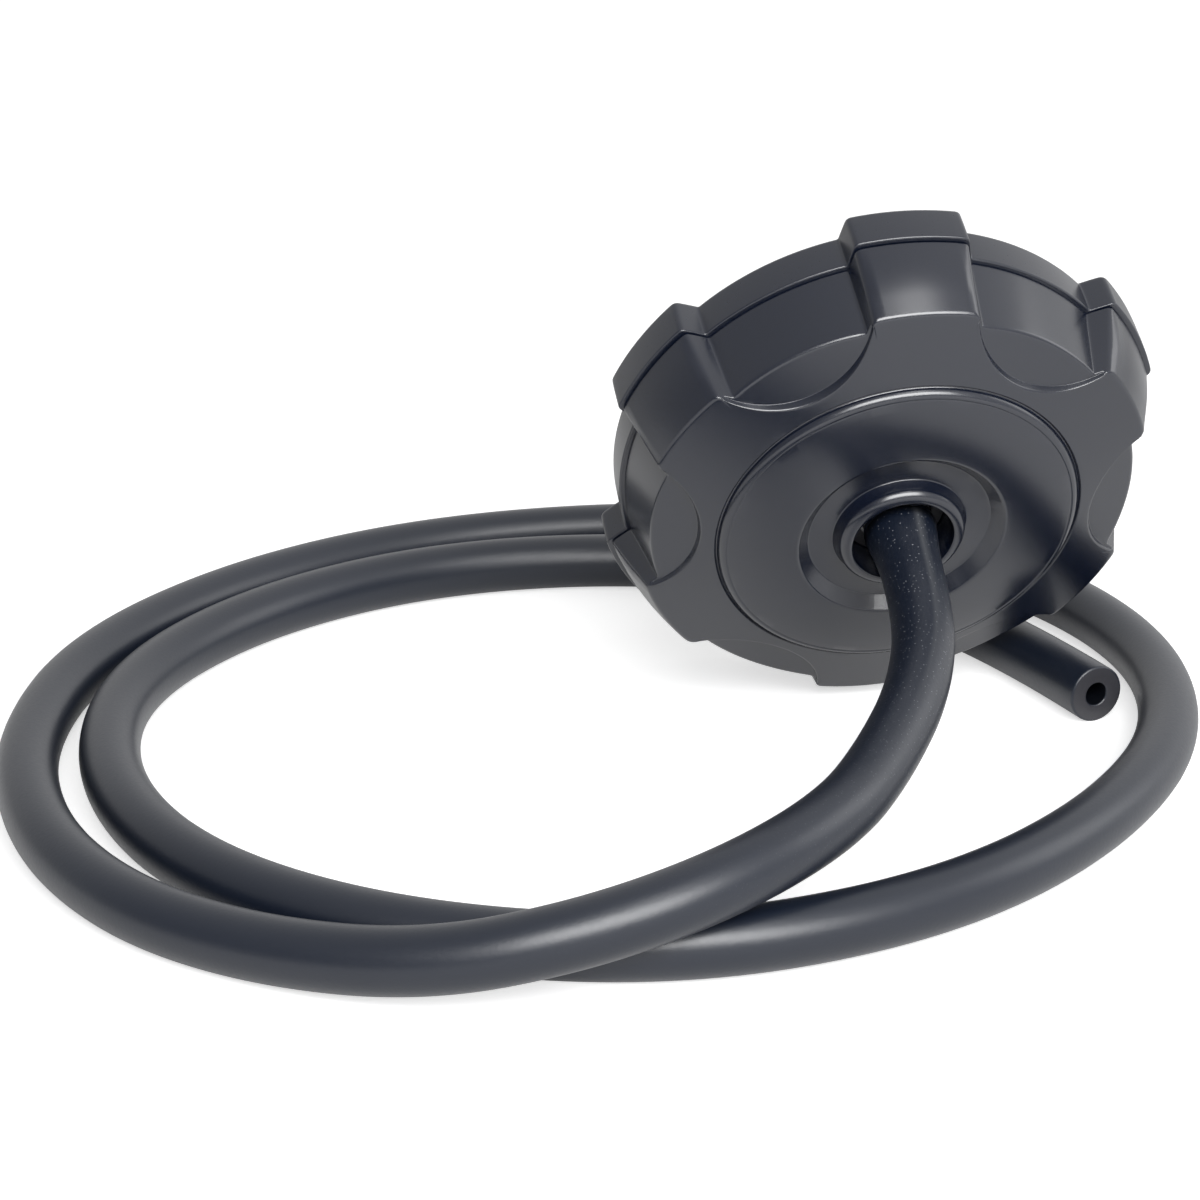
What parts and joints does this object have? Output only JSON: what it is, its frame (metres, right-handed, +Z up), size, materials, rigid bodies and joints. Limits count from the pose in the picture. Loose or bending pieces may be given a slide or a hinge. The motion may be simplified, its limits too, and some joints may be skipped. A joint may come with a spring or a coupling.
{
  "type": "vented filler cap with breather hose",
  "caption": "Round black screw cap with grip lobes, a ratcheting cover and a centre collar, from which a rubber breather hose runs down and lies in loose loops.",
  "frame": {"origin": "on the surface that the cap stands on, below the middle of the cap's box (the free hose left out)", "axes": "+Z up, +Y from the cap's face to its back, +X to the right of someone who looks at the face; the cap leans forward by 25.6 degrees"},
  "size_m": [0.2036, 0.1962, 0.0919],
  "materials": {
    "cover_plastic": "satin moulded black polypropylene",
    "band_plastic": "satin moulded black polypropylene",
    "body_plastic": "moulded black polypropylene",
    "acetal": "natural acetal",
    "slip_plastic": "white slip plastic",
    "baffle_plastic": "moulded black polypropylene",
    "nipple_plastic": "moulded black nylon",
    "gasket_rubber": "smooth nitrile rubber",
    "hose_rubber": "matt extruded rubber",
    "breather_foam": "open-cell foam",
    "screw_steel": "plain stainless",
    "clip_steel": "spring stainless",
    "ball_steel": "polished ball"
  },
  "bodies": {
    "core": {"thread_body": "body_plastic", "slide_ring": "slip_plastic", "neck_gasket": "gasket_rubber", "baffle_plate": "baffle_plastic", "baffle_screws": "screw_steel", "foam_disc": "breather_foam", "ball_cage": "acetal", "valve_seat": "gasket_rubber", "nipple_gasket": "gasket_rubber", "nipple": "nipple_plastic", "retaining_clip": "clip_steel", "tower_seal": "gasket_rubber", "hose_held_end": "hose_rubber", "breather_hose": "hose_rubber"},
    "cover": {"cover_shell": "cover_plastic", "rear_ring": "band_plastic", "ratchet_ring": "acetal"},
    "ball": {"check_ball": "ball_steel"}
  },
  "joints": [
    {"name": "cover_turn", "type": "hinge", "parent": "core", "child": "cover", "pos_m": [0, 0.00883, 0.04884], "axis": [0, -0.9018, -0.4321], "continuous": true},
    {"name": "ball_slide", "type": "slide", "parent": "core", "child": "ball", "axis": [0, 0.9018, 0.4321], "range_m": [0, 0.0015]}
  ]
}
